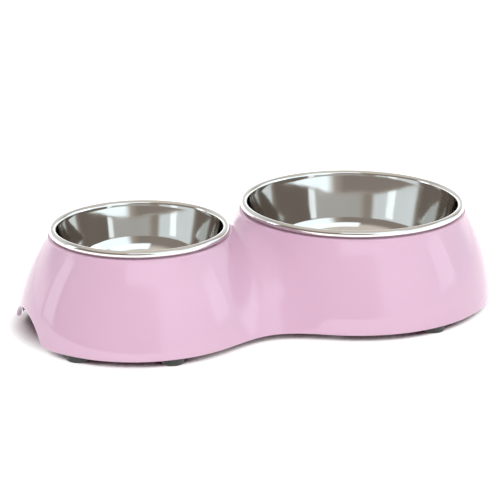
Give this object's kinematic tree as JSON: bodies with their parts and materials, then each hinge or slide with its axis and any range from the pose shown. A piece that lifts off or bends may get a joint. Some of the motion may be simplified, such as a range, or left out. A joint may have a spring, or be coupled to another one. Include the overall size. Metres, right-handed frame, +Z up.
{
  "type": "double pet bowl",
  "caption": "Double pet bowl: steel bowls with rolled rims hang in a moulded figure-of-eight holder with flared walls, grip arches and rubber feet.",
  "frame": {"origin": "on the floor under the middle of the holder", "axes": "+X from the small bowl towards the large bowl, +Y towards the back, +Z up"},
  "size_m": [0.2991, 0.1772, 0.0625],
  "materials": {
    "holder": "glossy moulded pink plastic",
    "steel": "mirror polished stainless steel",
    "rubber": "matt dark rubber"
  },
  "bodies": {
    "holder": {"holder": "holder", "foot_small_end_front": "rubber", "foot_small_end_back": "rubber", "foot_small_side_front": "rubber", "foot_small_side_back": "rubber", "foot_large_side_front": "rubber", "foot_large_side_back": "rubber", "foot_large_end_front": "rubber", "foot_large_end_back": "rubber"},
    "small_bowl": {"small_bowl": "steel"},
    "large_bowl": {"large_bowl": "steel"}
  },
  "joints": [
    {"name": "small_bowl_lift", "type": "slide", "parent": "holder", "child": "small_bowl", "axis": [0, 0, 1], "range_m": [0, 0.06]},
    {"name": "large_bowl_lift", "type": "slide", "parent": "holder", "child": "large_bowl", "axis": [0, 0, 1], "range_m": [0, 0.06]}
  ]
}
